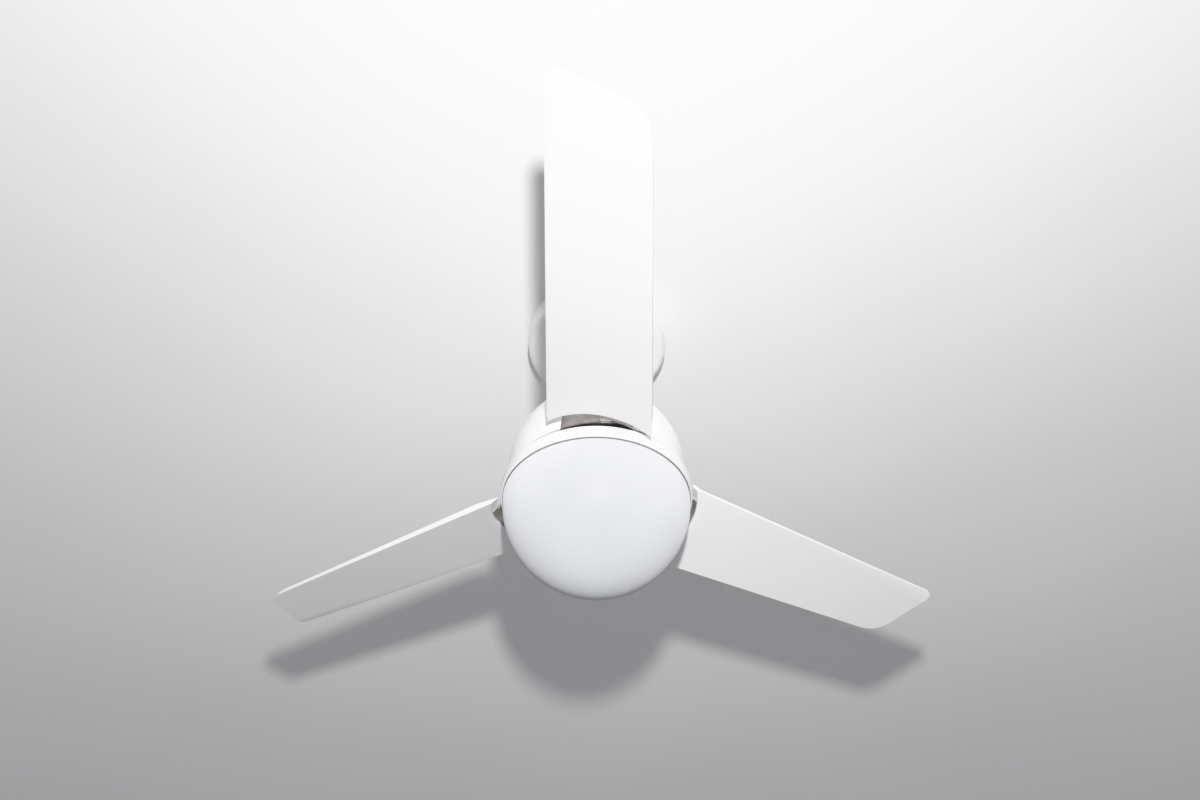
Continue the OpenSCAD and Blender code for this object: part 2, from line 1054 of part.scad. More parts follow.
ceiling_bracket();
hanger_yoke();
hanger_pin();
hanger_nut();
terminal_block();
capacitor();
canopy();
canopy_screws();
downrod();
hanger_bush();
rod_bolt();
rod_nut();
motor_shaft();
stator_core();
stator_coils();
bearing_inner_races();
bearing_balls();
spacer_sleeve();
light_plate();
lock_nut();
light_ring();
ring_screws();
bowl_clips();
holder_brackets();
lamp_holders();
lamps();
leads();
upper_cover();
cover_screws();
rotor_top();
rotor_bottom();
rotor_ring();
rotor_bolts();
bearing_outer_races();
at_blade(1) blade_arm();  // blade_arm_1
at_blade(2) blade_arm();  // blade_arm_2
at_blade(3) blade_arm();  // blade_arm_3
arm_screws();
at_blade(1) pitched() blade();  // blade_1
at_blade(2) pitched() blade();  // blade_2
at_blade(3) pitched() blade();  // blade_3
blade_screws();
glass_bowl();
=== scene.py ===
import json
import math

import bmesh
import bpy
from mathutils import Matrix, Vector
from mathutils.geometry import delaunay_2d_cdt


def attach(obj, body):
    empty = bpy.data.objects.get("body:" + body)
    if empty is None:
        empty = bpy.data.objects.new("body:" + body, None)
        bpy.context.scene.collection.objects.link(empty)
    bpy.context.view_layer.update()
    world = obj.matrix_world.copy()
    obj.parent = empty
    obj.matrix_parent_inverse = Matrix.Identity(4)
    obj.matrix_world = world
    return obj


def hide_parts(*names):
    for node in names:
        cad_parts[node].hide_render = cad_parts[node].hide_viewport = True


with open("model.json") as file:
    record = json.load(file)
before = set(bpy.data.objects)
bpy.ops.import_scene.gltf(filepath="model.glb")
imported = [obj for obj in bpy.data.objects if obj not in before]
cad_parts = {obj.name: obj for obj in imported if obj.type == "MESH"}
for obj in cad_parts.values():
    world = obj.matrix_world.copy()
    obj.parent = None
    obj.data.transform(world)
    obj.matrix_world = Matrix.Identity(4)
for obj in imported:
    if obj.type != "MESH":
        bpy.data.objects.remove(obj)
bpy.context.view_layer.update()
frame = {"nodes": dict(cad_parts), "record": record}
nodes = frame["nodes"]
scene = bpy.context.scene

# ------------------------------------------------------------------ measures

MM = 0.001
PITCH = math.radians(12.5)
BLADES = (1, 2, 3)

# heights in metres: the seam over the bowl, and the blades' under surface at the shaft
SEAM = -0.325
BLADE_Z = SEAM + 16.6 * MM

# in millimetres, as all plans, profiles and edge widths below
BLADE_T = 3.5


# ------------------------------------------------------------------ mesh helpers

def finish_mesh(name, bm, body, mat, smooth=40, replaces=(), recalc=True):
    """Makes an object of the mesh and says its material, body and replaced nodes."""
    if recalc:
        bmesh.ops.recalc_face_normals(bm, faces=bm.faces)
    mesh = bpy.data.meshes.new(name)
    bm.to_mesh(mesh)
    bm.free()
    obj = bpy.data.objects.new(name, mesh)
    scene.collection.objects.link(obj)
    mesh.materials.append(mat)
    mesh.shade_smooth()
    mesh.set_sharp_from_angle(angle=math.radians(smooth))
    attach(obj, body)
    if replaces:
        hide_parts(*replaces)
    return obj


def bevel(obj, width, segments=3, angle=35):
    m = obj.modifiers.new("bevel", "BEVEL")
    m.width = width
    m.segments = segments
    m.limit_method = "ANGLE"
    m.angle_limit = math.radians(angle)
    m.harden_normals = False


def solidify(obj, thickness):
    m = obj.modifiers.new("wall", "SOLIDIFY")
    m.thickness = thickness
    m.offset = -1.0


ON_AXIS = 1e-7


def arc(cx, cz, r, a0, a1, n):
    """Points on a circle in the r, z plane, from angle a0 to a1 in degrees."""
    pts = []
    for i in range(n + 1):
        a = math.radians(a0 + (a1 - a0) * i / n)
        pts.append((cx + r * math.cos(a), cz + r * math.sin(a)))
    return pts


def lathe(bm, profile, steps, closed):
    """Turns an r, z profile round the Z axis."""
    rings = []
    for i in range(steps):
        a = 2 * math.pi * i / steps
        c, s = math.cos(a), math.sin(a)
        rings.append([bm.verts.new((r * c, r * s, z)) if r > ON_AXIS else None for r, z in profile])
    axis = {}
    for j, (r, z) in enumerate(profile):
        if r <= ON_AXIS:
            axis[j] = bm.verts.new((0, 0, z))
    count = len(profile)
    last = count if closed else count - 1
    for i in range(steps):
        a, b = rings[i], rings[(i + 1) % steps]
        for j in range(last):
            k = (j + 1) % count
            p = [a[j] or axis[j], a[k] or axis[k], b[k] or axis[k], b[j] or axis[j]]
            quad = []
            for v in p:
                if v not in quad:
                    quad.append(v)
            if len(quad) > 2:
                bm.faces.new(quad)


def blade_turn(i):
    """Turn of blade i about the shaft: +X out along the blade, +Y from leading to trailing side."""
    return Matrix.Rotation(math.radians(-90 + 120 * (i - 1)), 4, "Z")


def blade_frame(i):
    """Place of blade i's under surface, with its pitch."""
    return blade_turn(i) @ Matrix.Translation((0, 0, BLADE_Z)) @ Matrix.Rotation(-PITCH, 4, "X")


# ------------------------------------------------------------------ material helpers

def new_material(name):
    """A material with nodes, its tree, and its Principled shader."""
    mat = bpy.data.materials.new(name)
    mat.use_nodes = True
    tree = mat.node_tree
    return mat, tree, tree.nodes["Principled BSDF"]


def node(tree, kind, **values):
    """A new node, with inputs or settings given by name."""
    n = tree.nodes.new(kind)
    for key, value in values.items():
        if key in n.inputs:
            n.inputs[key].default_value = value
        else:
            setattr(n, key, value)
    return n


def coords(tree, scale=(1, 1, 1)):
    """The piece's own coordinates in metres, stretched by scale."""
    where = tree.nodes.new("ShaderNodeTexCoord")
    mapping = tree.nodes.new("ShaderNodeMapping")
    mapping.inputs["Scale"].default_value = scale
    tree.links.new(where.outputs["Object"], mapping.inputs["Vector"])
    return mapping.outputs["Vector"]


def noise(tree, vector, scale, detail=3.0, rough=0.5):
    n = node(tree, "ShaderNodeTexNoise", Scale=scale, Detail=detail, Roughness=rough)
    tree.links.new(vector, n.inputs["Vector"])
    return n.outputs["Fac"]


def ramp(tree, factor, low, high, start=0.35, end=0.65):
    """Blends from low to high as the factor goes from start to end."""
    r = tree.nodes.new("ShaderNodeValToRGB")
    r.color_ramp.elements[0].position = start
    r.color_ramp.elements[1].position = end
    r.color_ramp.elements[0].color = low
    r.color_ramp.elements[1].color = high
    tree.links.new(factor, r.inputs["Fac"])
    return r.outputs["Color"]


def grey(v):
    return (v, v, v, 1)


def rgba(tone):
    return tone + (1,)


def add_bump(tree, bsdf, height, strength, distance=0.0004):
    b = node(tree, "ShaderNodeBump", Strength=strength, Distance=distance)
    tree.links.new(height, b.inputs["Height"])
    tree.links.new(b.outputs["Normal"], bsdf.inputs["Normal"])


def finish_material(name, low, high, rough=(0.3, 0.4), metallic=0.0, scale=60, stretch=(1, 1, 1),
                    bump=0.1, bump_scale=900, coat=0.0, coat_rough=0.05, ior=1.5, distance=0.0002,
                    subsurface=0.0, matt=0.0, shine=0.5):
    """Two tones of one finish, mixed by noise, with roughness and a fine surface from noise."""
    mat, tree, bsdf = new_material(name)
    vector = coords(tree, stretch)
    soft = noise(tree, vector, scale, 4)
    fine = noise(tree, vector, scale * 2.3, 3)
    tree.links.new(ramp(tree, soft, rgba(low), rgba(high)), bsdf.inputs["Base Color"])
    tree.links.new(ramp(tree, fine, grey(rough[0]), grey(rough[1])), bsdf.inputs["Roughness"])
    bsdf.inputs["Metallic"].default_value = metallic
    bsdf.inputs["IOR"].default_value = ior
    bsdf.inputs["Specular IOR Level"].default_value = shine
    if coat:
        bsdf.inputs["Coat Weight"].default_value = coat
        bsdf.inputs["Coat Roughness"].default_value = coat_rough
    if matt:
        bsdf.inputs["Diffuse Roughness"].default_value = matt
    if subsurface:
        bsdf.inputs["Subsurface Weight"].default_value = subsurface
        bsdf.inputs["Subsurface Radius"].default_value = (0.006, 0.006, 0.006)
    if bump:
        add_bump(tree, bsdf, noise(tree, vector, bump_scale, 2), bump, distance)
    return mat


# ------------------------------------------------------------------ materials

DUST = (0.46, 0.44, 0.41)


def dusted(tree, vector, colour, share):
    """Fine uneven dust over the colour, more of it the more the surface faces up."""
    geometry = tree.nodes.new("ShaderNodeNewGeometry")
    split = tree.nodes.new("ShaderNodeSeparateXYZ")
    tree.links.new(geometry.outputs["Normal"], split.inputs["Vector"])
    facing = node(tree, "ShaderNodeMapRange")
    facing.inputs["From Min"].default_value = 0.25
    facing.inputs["From Max"].default_value = 1.0
    tree.links.new(split.outputs["Z"], facing.inputs["Value"])
    patch = ramp(tree, noise(tree, vector, 130, 5, 0.7), grey(0.35), grey(1), 0.2, 0.8)
    amount = node(tree, "ShaderNodeMath", operation="MULTIPLY")
    tree.links.new(facing.outputs["Result"], amount.inputs[0])
    tree.links.new(patch, amount.inputs[1])
    part = node(tree, "ShaderNodeMath", operation="MULTIPLY")
    part.inputs[1].default_value = share
    tree.links.new(amount.outputs["Value"], part.inputs[0])
    mix = node(tree, "ShaderNodeMix", data_type="RGBA")
    tree.links.new(part.outputs["Value"], mix.inputs["Factor"])
    tree.links.new(colour, mix.inputs[6])
    mix.inputs[7].default_value = rgba(DUST)
    return mix.outputs[2]


def painted_white(name, tone, rough, coat, dust):
    """Moulded white plastic: faint tone changes, fine surface, and dust where it faces up."""
    mat, tree, bsdf = new_material(name)
    vector = coords(tree)
    low = tuple(c * 0.965 for c in tone)
    colour = ramp(tree, noise(tree, vector, 7, 2), rgba(low), rgba(tone), 0.2, 0.8)
    tree.links.new(dusted(tree, vector, colour, dust), bsdf.inputs["Base Color"])
    gloss = noise(tree, vector, 9, 2)
    tree.links.new(ramp(tree, gloss, grey(rough[0]), grey(rough[1]), 0.2, 0.8),
                   bsdf.inputs["Roughness"])
    bsdf.inputs["IOR"].default_value = 1.5
    bsdf.inputs["Coat Weight"].default_value = coat
    bsdf.inputs["Coat Roughness"].default_value = 0.12
    add_bump(tree, bsdf, noise(tree, vector, 420, 3), 0.12, 0.0002)
    return mat


def metal(name, low, high, rough, scale=40, stretch=(1, 1, 1), bump=0.08):
    return finish_material(name, low, high, rough, 1.0, scale, stretch, bump, 600)


WHITE = (0.86, 0.86, 0.86)
BLADE_WHITE = (0.84, 0.84, 0.845)
ALONG = (1, 1, 14)
LAYERED = (1, 1, 18)
opal = finish_material(
    "opal_glass", (0.56, 0.565, 0.583), (0.59, 0.595, 0.613), (0.46, 0.54), scale=10,
    bump=0.02, bump_scale=30, ior=1.45, matt=0.8, shine=0.2)
opal_lamp = finish_material(
    "opal_lamp", (0.82, 0.82, 0.80), (0.86, 0.86, 0.85), (0.32, 0.42), scale=12,
    bump=0.04, bump_scale=500, subsurface=0.2)
housing_white = painted_white("housing_white", WHITE, (0.26, 0.36), 0.25, 0.3)
blade_white = painted_white("blade_white", BLADE_WHITE, (0.36, 0.46), 0.0, 0.4)
plated_steel = metal("plated_steel", (0.58, 0.58, 0.57), (0.70, 0.70, 0.69), (0.18, 0.30), 90)
arm_steel = metal("arm_steel", (0.27, 0.25, 0.24), (0.42, 0.39, 0.375), (0.30, 0.46), 45)
ceramic = finish_material(
    "holder_ceramic", (0.74, 0.72, 0.67), (0.82, 0.80, 0.76), (0.10, 0.2), scale=25,
    coat=0.5, bump=0.05, bump_scale=90)

SLOT_LOOK = {
    "opal_glass": opal,
    "lamp_opal": opal_lamp,
    "white_plastic": housing_white,
    "blade_plastic": blade_white,
    "plated_steel": plated_steel,
    "arm_steel": arm_steel,
    "holder_ceramic": ceramic,
    "white_rod_paint": painted_white("rod_white", WHITE, (0.22, 0.30), 0.3, 0.2),
    "bracket_steel": metal(
        "bracket_steel", (0.42, 0.41, 0.39), (0.56, 0.55, 0.52), (0.30, 0.48), 55),
    "bearing_steel": metal(
        "bearing_steel", (0.62, 0.62, 0.63), (0.72, 0.72, 0.73), (0.10, 0.18), 120, bump=0.02),
    "lamination_steel": metal(
        "lamination_steel", (0.16, 0.15, 0.15), (0.30, 0.29, 0.28), (0.40, 0.60), 30, LAYERED, 0.3),
    "copper_wire": metal(
        "copper_wire", (0.50, 0.22, 0.10), (0.72, 0.36, 0.18), (0.22, 0.36), 60, ALONG, 0.5),
    "cast_aluminium": metal(
        "cast_aluminium", (0.44, 0.44, 0.45), (0.60, 0.60, 0.61), (0.42, 0.58), 70, bump=0.35),
    "terminal_plastic": finish_material(
        "terminal_plastic", (0.68, 0.68, 0.64), (0.76, 0.76, 0.72), (0.38, 0.5), bump=0.06),
    "capacitor_case": finish_material(
        "capacitor_case", (0.014, 0.014, 0.016), (0.03, 0.03, 0.033), (0.3, 0.42)),
    "bush_rubber": finish_material(
        "bush_rubber", (0.010, 0.010, 0.010), (0.022, 0.021, 0.020), (0.62, 0.78), bump=0.3),
    "lead_sleeving": finish_material(
        "lead_sleeving", (0.018, 0.018, 0.020), (0.032, 0.032, 0.034), (0.35, 0.48), bump=0.1),
}
for part in frame["record"]["subparts"]:
    mesh = nodes[part["node"]].data
    mesh.materials.clear()
    mesh.materials.append(SLOT_LOOK[part["material_slot"]])


# ------------------------------------------------------------------ blades

# plan of a blade: x out from the shaft, y from the leading to the trailing side
CREASE_FROM = Vector((200, -53.5))
CREASE_TO = Vector((510, -24))
CURL_R = 90.0
ROOT_CENTRE = Vector((40, 3))
ROOT_ROUND = 90.0
RIM_H = 8.0
RIM_FALL = 4.0
RIM_LEAN = (4.0, 7.5)
RIM_NOTCH = 42.0
P_ROOT_LEAD = Vector((100, -57))
P_TIP_LEAD = Vector((510, -42.5))
P_TIP_TRAIL = Vector((477, 48.5))
P_ROOT_TRAIL = Vector((100, 62.5))
LEAD_CORNER_R = 9
TRAIL_CORNER_R = 36

# cells of the blade's grid: across it, along its straight part, round its corners, and
# those over which the rim's lean fades at the trailing root corner
ACROSS = 26
STRAIGHT = 44
CORNER = 12
LEAN_FADE = 3


def on_root_circle(p, q):
    """Where the line from p to q leaves the root circle."""
    d, o = q - p, p - ROOT_CENTRE
    a, b, c = d.dot(d), 2 * o.dot(d), o.dot(o) - ROOT_ROUND ** 2
    return p + d * ((-b + math.sqrt(b * b - 4 * a * c)) / (2 * a))


def fillet(p, a, b, r, steps):
    """Points of the arc of radius r that rounds corner p, from the side of a to the side of b."""
    ua, ub = (a - p).normalized(), (b - p).normalized()
    half = math.acos(ua.dot(ub)) / 2
    centre = p + (ua + ub).normalized() * (r / math.sin(half))
    start = p + ua * (r / math.tan(half)) - centre
    end = p + ub * (r / math.tan(half)) - centre
    turn = math.atan2(start.x * end.y - start.y * end.x, start.dot(end))
    pts = []
    for i in range(steps + 1):
        t = turn * i / steps
        pts.append(centre + Vector((start.x * math.cos(t) - start.y * math.sin(t),
                                    start.x * math.sin(t) + start.y * math.cos(t))))
    return pts


def curl_height(p):
    """How far the leading edge curls up at a point of the blade's plan."""
    along = (CREASE_TO - CREASE_FROM).normalized()
    out = (p - CREASE_FROM).dot(Vector((along.y, -along.x)))
    return CURL_R - math.sqrt(CURL_R ** 2 - out ** 2) if out > 0 else 0.0


def blade_sheet(bm):
    """The blade's under surface as a grid: rows run from the leading to the trailing side."""
    lead_arc = fillet(P_TIP_LEAD, P_ROOT_LEAD, P_TIP_TRAIL, LEAD_CORNER_R, CORNER)
    trail_arc = fillet(P_TIP_TRAIL, P_ROOT_TRAIL, P_TIP_LEAD, TRAIL_CORNER_R, CORNER)
    lead0 = on_root_circle(P_ROOT_LEAD, P_TIP_LEAD)
    trail0 = on_root_circle(P_ROOT_TRAIL, P_TIP_TRAIL)
    lead = [lead0.lerp(lead_arc[0], k / STRAIGHT) for k in range(STRAIGHT)] + lead_arc
    trail = [trail0.lerp(trail_arc[0], k / STRAIGHT) for k in range(STRAIGHT)] + trail_arc
    o0, o1 = lead0 - ROOT_CENTRE, trail0 - ROOT_CENTRE
    a0, a1 = math.atan2(o0.y, o0.x), math.atan2(o1.y, o1.x)
    grid = []
    for k, (l, t) in enumerate(zip(lead, trail)):
        row = []
        fade = max(0.0, 1 - k / STRAIGHT) ** 2
        for j in range(ACROSS + 1):
            v = j / ACROSS
            a = a0 + (a1 - a0) * v
            on_circle = ROOT_CENTRE + Vector((math.cos(a), math.sin(a))) * ROOT_ROUND
            p = l.lerp(t, v) + (on_circle - lead0.lerp(trail0, v)) * fade
            row.append(bm.verts.new((p.x * MM, p.y * MM, curl_height(p) * MM)))
        grid.append(row)
    for k in range(len(grid) - 1):
        for j in range(ACROSS):
            bm.faces.new((grid[k][j], grid[k][j + 1], grid[k + 1][j + 1], grid[k + 1][j]))
    return grid


def blade_rims(bm, grid):
    """Rims up from the root edge beside the arm, leaning to the motor, and up the trailing edge."""
    root_edge = grid[0]
    trail_edge = [row[-1] for row in grid[:STRAIGHT + 1]]
    lead_rim = [(v, RIM_H, RIM_LEAN[0]) for v in root_edge if v.co.y < -RIM_NOTCH * MM]
    trail_rim = [(v, RIM_H, RIM_LEAN[1]) for v in root_edge if v.co.y > RIM_NOTCH * MM]
    trail_rim += [(v, RIM_H - RIM_FALL * n / STRAIGHT, RIM_LEAN[1] * max(0.0, 1 - n / LEAN_FADE))
                  for n, v in enumerate(trail_edge) if n]
    for line in (lead_rim, trail_rim):
        top = []
        for v, h, lean in line:
            p = Vector((v.co.x, v.co.y)) / MM
            p -= (p - ROOT_CENTRE).normalized() * lean
            top.append(bm.verts.new((p.x * MM, p.y * MM, h * MM)))
        for n in range(len(line) - 1):
            bm.faces.new((line[n][0], line[n + 1][0], top[n + 1], top[n]))


def make_blade(i):
    bm = bmesh.new()
    blade_rims(bm, blade_sheet(bm))
    bmesh.ops.recalc_face_normals(bm, faces=bm.faces)
    bm.faces.ensure_lookup_table()
    if bm.faces[10].normal.z > 0:
        bmesh.ops.reverse_faces(bm, faces=bm.faces)
    bm.transform(blade_frame(i))
    obj = finish_mesh(f"blade_{i}_moulding", bm, "rotor", blade_white, 30,
                      (f"blade_{i}",), recalc=False)
    solidify(obj, BLADE_T * MM)
    bevel(obj, 1.1 * MM, 3, 40)


for i in BLADES:
    make_blade(i)


# ------------------------------------------------------------------ blade arms

ARM_T = 2.5
ARM_Z = BLADE_Z / MM + BLADE_T / math.cos(PITCH)
ARM_WIDE = 40.0
ARM_END = (172.0, 20.0)
ARM_SIDE = [Vector(p) for p in ((58, -20), (84, -40), (116, -40), (150, -20), (172, -20))]
ARM_SIDE_ROUND = (10, 12, 30)
ARM_HOLE_R = 2.1

# holes, and a slot across the arm: x, y from, y to, radius
ARM_CUTS = [
    (70, -12, -12, ARM_HOLE_R), (70, 12, 12, ARM_HOLE_R),
    (146, -11, -11, ARM_HOLE_R), (146, 11, 11, ARM_HOLE_R), (180, 0, 0, ARM_HOLE_R),
    (118.5, 6, 14, 3.2),
]

# size of the arm's mesh cells, and the area under which a triangle is left out
ARM_CELL = 3.0
SLIVER = 0.02


def oblong(s, t0, t1, r, steps=12):
    """A round hole, or a slot from t0 to t1, as a loop of points."""
    loop = []
    for t, first in ((t1, 0), (t0, 180)):
        for k in range(steps + (t0 != t1)):
            a = math.radians(first + 180 * k / steps)
            loop.append(Vector((s + r * math.cos(a), t + r * math.sin(a))))
    return loop


def inside(p, loop):
    """Whether point p lies inside the loop."""
    hit = False
    for a, b in zip(loop, loop[1:] + loop[:1]):
        if (a.y > p.y) != (b.y > p.y):
            if p.x < a.x + (b.x - a.x) * (p.y - a.y) / (b.y - a.y):
                hit = not hit
    return hit


def arm_lift(p):
    """From the plate's plan to its place: flat under the motor, then turned to the pitch."""
    u = p.y / ARM_WIDE
    flat_to, pitched_from = 112 - 9 * u * u, 127.5 - 11.5 * u * u
    f = min(1.0, max(0.0, (p.x - flat_to) / (pitched_from - flat_to)))
    f = f * f * (3 - 2 * f)
    flat = Vector((p.x, p.y, ARM_Z))
    pitched = Vector((p.x, p.y * math.cos(PITCH) + BLADE_T * math.sin(PITCH),
                      BLADE_Z / MM - p.y * math.sin(PITCH) + BLADE_T * math.cos(PITCH)))
    return flat.lerp(pitched, f) * MM


def arm_outline():
    """The arm plate's outline, with points at most a cell apart."""
    side = [ARM_SIDE[0]]
    for k, r in enumerate(ARM_SIDE_ROUND, 1):
        side += fillet(ARM_SIDE[k], ARM_SIDE[k - 1], ARM_SIDE[k + 1], r, 6)
    s_end, r_end = ARM_END
    tip = [Vector((s_end + r_end * math.cos(math.radians(a)), r_end * math.sin(math.radians(a))))
           for a in range(-90, 91, 10)]
    corners = side + tip + [Vector((p.x, -p.y)) for p in reversed(side)]
    outline = []
    for a, b in zip(corners, corners[1:] + corners[:1]):
        parts = max(1, int((b - a).length / ARM_CELL))
        outline += [a.lerp(b, k / parts) for k in range(parts)]
    return outline


def make_arm(i):
    outline = arm_outline()
    cuts = [oblong(*c) for c in ARM_CUTS]
    points, edges = [], []
    for loop in [outline] + cuts:
        first, count = len(points), len(loop)
        points += loop
        edges += [(first + k, first + (k + 1) % count) for k in range(count)]
    rim = list(points)

    def on_plate(p):
        return inside(p, outline) and not any(inside(p, cut) for cut in cuts)

    across = int(ARM_WIDE / ARM_CELL)
    for m in range(int(ARM_SIDE[0].x / ARM_CELL), int(sum(ARM_END) / ARM_CELL) + 1):
        for n in range(-across, across + 1):
            p = Vector((m * ARM_CELL, n * ARM_CELL))
            if on_plate(p) and min((p - q).length_squared for q in rim) > (ARM_CELL / 2) ** 2:
                points.append(p)
    verts, _, faces, *_ = delaunay_2d_cdt(points, edges, [], 0, 1e-5)
    bm = bmesh.new()
    made = [bm.verts.new(arm_lift(v)) for v in verts]
    for face in faces:
        a, b, c = (verts[k] for k in face)
        if abs((b - a).cross(c - a)) / 2 > SLIVER and on_plate((a + b + c) / 3):
            bm.faces.new([made[k] for k in reversed(face)])
    bmesh.ops.delete(bm, geom=[v for v in bm.verts if not v.link_faces], context="VERTS")
    bm.transform(blade_turn(i))
    obj = finish_mesh(f"blade_{i}_iron", bm, "rotor", arm_steel, 30,
                      (f"blade_arm_{i}",), recalc=False)
    solidify(obj, ARM_T * MM)
    bevel(obj, 0.4 * MM, 2, 40)


for i in BLADES:
    make_arm(i)


# ------------------------------------------------------------------ turned pieces

TURNED_STEPS = 192


def turned(name, profile, body, mat, replaces, closed, angle):
    """A turned piece, from an r, z profile in millimetres."""
    bm = bmesh.new()
    lathe(bm, [(r * MM, z * MM) for r, z in profile], TURNED_STEPS, closed)
    finish_mesh(name, bm, body, mat, angle, replaces)


# the bowl: a thin half globe with a round bead for an edge
S = SEAM / MM
BOWL_R = 110
BOWL_IN = 106.5
BEAD_R = (BOWL_R - BOWL_IN) / 2
BEAD_Z = S + 2.25
bowl_profile = (
    arc(BOWL_R - BEAD_R, BEAD_Z, BEAD_R, 0, 180, 10)
    + [(BOWL_IN, S)]
    + arc(0, S, BOWL_IN, 0, -90, 48)[1:-1] + [(0, S - BOWL_IN)]
    + [(0, S - BOWL_R)] + arc(0, S, BOWL_R, -90, 0, 48)[1:]
)
turned("opal_bowl", bowl_profile, "bowl", opal, ("glass_bowl",), False, 50)

# the light ring: a band with a shelf inside for the light plate
RING_OUT = 113
RING_IN = RING_OUT - 2.4
RING_LOW = S + 2
RING_TOP = S + 17.5
RING_ROUND = 1.8
SHELF_IN = 98.0
SHELF_LOW = S + 7.0
SHELF_TOP = S + 10.0
ring_profile = (
    arc(RING_IN + 0.5, RING_LOW + 0.5, 0.5, 180, 270, 4)
    + arc(RING_OUT - RING_ROUND, RING_LOW + RING_ROUND, RING_ROUND, -90, 0, 8)
    + arc(RING_OUT - 1.0, RING_TOP - 1.0, 1.0, 0, 90, 5)
    + arc(RING_IN + 0.5, RING_TOP - 0.5, 0.5, 90, 180, 3)
    + [(RING_IN, SHELF_TOP + 0.2), (SHELF_IN + 0.4, SHELF_TOP), (SHELF_IN, SHELF_TOP - 0.4)]
    + [(SHELF_IN, SHELF_LOW + 0.4), (SHELF_IN + 0.4, SHELF_LOW), (RING_IN, SHELF_LOW)]
)
turned("light_ring_moulding", ring_profile, "hanging_frame", housing_white,
       ("light_ring",), True, 40)

# the canopy: a shallow pan with a groove under its upper edge and a rolled edge round the rod
CR = 97
CH = 44
PAN_ROUND = 9
PAN_WALL = 2
pan_profile = (
    [(CR - PAN_WALL, -0.8), (CR - 0.4, -0.8), (CR, -1.2)]
    + [(CR, -5.0), (CR - 0.4, -5.5), (CR - 0.4, -6.1), (CR, -6.6)]
    + arc(CR - PAN_ROUND, -CH + PAN_ROUND, PAN_ROUND, 0, -90, 16)
    + [(24.0, -CH), (21.0, -CH), (19.5, -CH + 0.2)]
    + arc(19.9, -CH + 1.1, 0.9, 225, 90, 6)
    + [(24.0, -CH + PAN_WALL), (CR - 11, -CH + PAN_WALL)]
    + arc(CR - PAN_ROUND, -CH + PAN_ROUND, PAN_ROUND - PAN_WALL, -80, 0, 10)
)
turned("canopy_shell", pan_profile, "canopy", housing_white, ("canopy",), True, 35)


# ------------------------------------------------------------------ lamps and lamp holders

LAMP_PLACE = (-62 * MM, 36 * MM, SEAM - 25 * MM)


def lamp_matrix(turn):
    """Place of a lamp holder: the profile's axis lies level, along X."""
    return (Matrix.Rotation(math.radians(turn), 4, "Z") @ Matrix.Translation(LAMP_PLACE)
            @ Matrix.Rotation(math.radians(90), 4, "Y"))


def turned_pair(name, profile, mat, replaces, steps, angle):
    """Two equal turned pieces, one in each lamp holder's place."""
    bm = bmesh.new()
    for turn in (0, 180):
        part = bmesh.new()
        lathe(part, [(r * MM, z * MM) for r, z in profile], steps, False)
        part.transform(lamp_matrix(turn))
        mesh = bpy.data.meshes.new("part")
        part.to_mesh(mesh)
        part.free()
        bm.from_mesh(mesh)
        bpy.data.meshes.remove(mesh)
    finish_mesh(name, bm, "hanging_frame", mat, angle, replaces)


holder_profile = (
    [(0, 0.0), (17.6, 0.0), (19.0, 1.2), (19.0, 6.0), (17.4, 8.0), (17.4, 12.0)]
    + [(17.4 + 1.2 * (k % 2), 13.0 + 1.6 * k) for k in range(13)]
    + [(17.4, 35.0), (19.0, 36.4), (19.0, 40.6), (17.6, 42.0)]
    + [(14.8, 42.0), (13.7, 41.0), (13.7, 10.2), (0, 10.0)]
)
turned_pair("lamp_holder_shells", holder_profile, ceramic,
            ("lamp_holders",), 72, 30)

THREAD_ROOT = 12.5
THREAD_CREST = 13.1
THREAD_PITCH = 2.8
thread = [(0, 11.2), (5.0, 11.4), (6.0, 12.6), (12.0, 14.0)]
for k in range(9):
    base = 15.0 + k * THREAD_PITCH
    thread += [(THREAD_ROOT, base), (THREAD_CREST, base + 0.9), (THREAD_CREST, base + 1.3)]
    thread += [(THREAD_ROOT, base + 2.2)]
thread += [(12.8, 41.0), (12.8, 42.4), (0, 42.4)]
turned_pair("lamp_screw_caps", thread, plated_steel, (), 64, 30)

GLOBE_R = 23.0
GLOBE_Z = 66
NECK_TOP = 49.2
globe_from = math.degrees(math.asin((NECK_TOP - GLOBE_Z) / GLOBE_R))
lamp_profile = (
    [(0, 42.5), (13.2, 42.5), (14.6, 43.3), (15.0, 44.6), (15.0, 46.0)]
    + [(14.8, 46.2), (14.8, 46.6), (15.0, 46.8), (15.0, NECK_TOP)]
    + arc(0, GLOBE_Z, GLOBE_R, globe_from, 90, 26)[1:-1] + [(0, GLOBE_Z + GLOBE_R)]
)
turned_pair("lamp_globes", lamp_profile, opal_lamp, ("lamps",), 72, 45)


# ------------------------------------------------------------------ softened CAD edges

# widths of the softened edges
EDGE = {
    "ceiling_bracket": 0.35, "hanger_yoke": 0.35, "hanger_pin": 0.3, "hanger_nut": 0.3,
    "terminal_block": 0.5, "capacitor": 0.9, "canopy_screws": 0.2, "downrod": 0.4,
    "rod_bolt": 0.3, "rod_nut": 0.3, "light_plate": 0.3, "lock_nut": 0.4, "ring_screws": 0.15,
    "bowl_clips": 0.2, "holder_brackets": 0.3, "upper_cover": 0.45, "cover_screws": 0.2,
    "rotor_top": 0.5, "rotor_bottom": 0.5, "rotor_ring": 0.3, "rotor_bolts": 0.2,
    "arm_screws": 0.2, "blade_screws": 0.2, "stator_coils": 1.2,
}
for name, width in EDGE.items():
    obj = nodes[name]
    weld = obj.modifiers.new("weld", "WELD")
    weld.merge_threshold = 1e-6
    bevel(obj, width * MM, 2, 35)


# ------------------------------------------------------------------ camera, stage and light

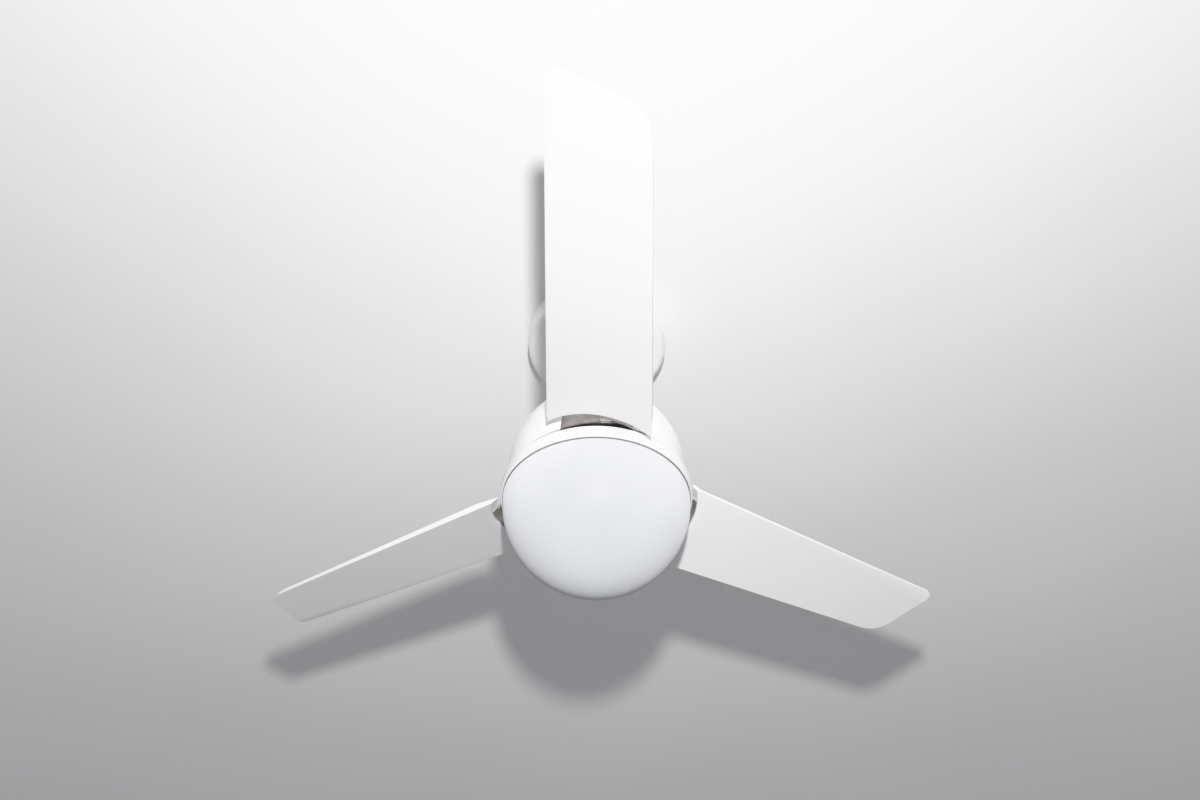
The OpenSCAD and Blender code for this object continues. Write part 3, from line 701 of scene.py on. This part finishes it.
camera_data = bpy.data.cameras.new("camera")
camera_data.sensor_width = 36
camera_data.lens = 26.01
camera = bpy.data.objects.new("camera", camera_data)
camera.location = (0.0042, -0.781, -0.992)
camera.rotation_euler = (math.radians(90 + 47.38), 0, 0)
scene.collection.objects.link(camera)
scene.camera = camera


# the stage, in metres
STAGE_HALF = 40.0
CEILING_Z = 0.0006
FLOOR_Z = -2.3


def plane(name, z, down, mat):
    """A level stage plane that casts no shadow and faces down or up."""
    bm = bmesh.new()
    turns = ((-1, -1), (1, -1), (1, 1), (-1, 1))
    corners = [(x * STAGE_HALF, y * STAGE_HALF) for x, y in turns]
    if down:
        corners.reverse()
    bm.faces.new([bm.verts.new((x, y, z)) for x, y in corners])
    mesh = bpy.data.meshes.new(name)
    bm.to_mesh(mesh)
    bm.free()
    obj = bpy.data.objects.new(name, mesh)
    scene.collection.objects.link(obj)
    mesh.materials.append(mat)
    obj.visible_shadow = False
    return obj


# pale ceiling, seen only from below: its back is clear
ceiling_mat, tree, bsdf = new_material("stage_ceiling")
tone = noise(tree, coords(tree), 1.3, 3)
tree.links.new(ramp(tree, tone, (0.80, 0.797, 0.803, 1), (0.825, 0.822, 0.828, 1)),
               bsdf.inputs["Base Color"])
bsdf.inputs["Roughness"].default_value = 0.95
bsdf.inputs["Specular IOR Level"].default_value = 0.1
clear = tree.nodes.new("ShaderNodeBsdfTransparent")
side = tree.nodes.new("ShaderNodeNewGeometry")
choose = tree.nodes.new("ShaderNodeMixShader")
tree.links.new(side.outputs["Backfacing"], choose.inputs["Fac"])
tree.links.new(bsdf.outputs["BSDF"], choose.inputs[1])
tree.links.new(clear.outputs["BSDF"], choose.inputs[2])
tree.links.new(choose.outputs["Shader"], tree.nodes["Material Output"].inputs["Surface"])
plane("stage_ceiling", CEILING_Z, True, ceiling_mat)

floor_mat = finish_material("stage_floor", (0.64, 0.64, 0.64), (0.66, 0.66, 0.66), (0.8, 0.9),
                            scale=1.0, bump=0)
floor = plane("stage_floor", FLOOR_Z, False, floor_mat)
floor.visible_diffuse = False

world = bpy.data.worlds.new("world")
world.use_nodes = True
sky = world.node_tree.nodes["Background"]
sky.inputs["Color"].default_value = (0.93, 0.94, 0.96, 1)
sky.inputs["Strength"].default_value = 0.34
scene.world = world


def key_light(place, radius, watts):
    """A small soft lamp whose light falls off slowly, as with a fill around it."""
    data = bpy.data.lights.new("key", "POINT")
    data.shadow_soft_size = radius
    data.energy = watts
    data.use_nodes = True
    tree = data.node_tree
    fall = node(tree, "ShaderNodeLightFalloff", Strength=1.0, Smooth=0.0)
    tree.links.new(fall.outputs["Linear"], tree.nodes["Emission"].inputs["Strength"])
    obj = bpy.data.objects.new("key", data)
    obj.location = place
    obj.visible_camera = False
    scene.collection.objects.link(obj)


key_light((0.034, -0.932, -0.83), 0.025, 48.5)
sun = bpy.data.objects.new("top", bpy.data.lights.new("top", "SUN"))
sun.data.energy = 1.4
sun.data.angle = math.radians(40)
sun.rotation_euler = (math.radians(-18), math.radians(24), 0)
scene.collection.objects.link(sun)

view = scene.view_settings
view.view_transform = "Standard"
view.look = "None"

# a soft shoulder: light over 0.75 is pressed together, so that white on white still shows
SHOULDER = (
    (0.1, 0.2), (0.2, 0.4), (0.3, 0.6), (0.35, 0.7), (0.4, 0.79), (0.45, 0.868),
    (0.5, 0.926), (0.6, 0.976), (0.8, 0.998),
)
view.use_curve_mapping = True
view.curve_mapping.white_level = (2.0, 2.0, 2.0)
for x, y in SHOULDER:
    view.curve_mapping.curves[3].points.new(x, y)
view.curve_mapping.update()
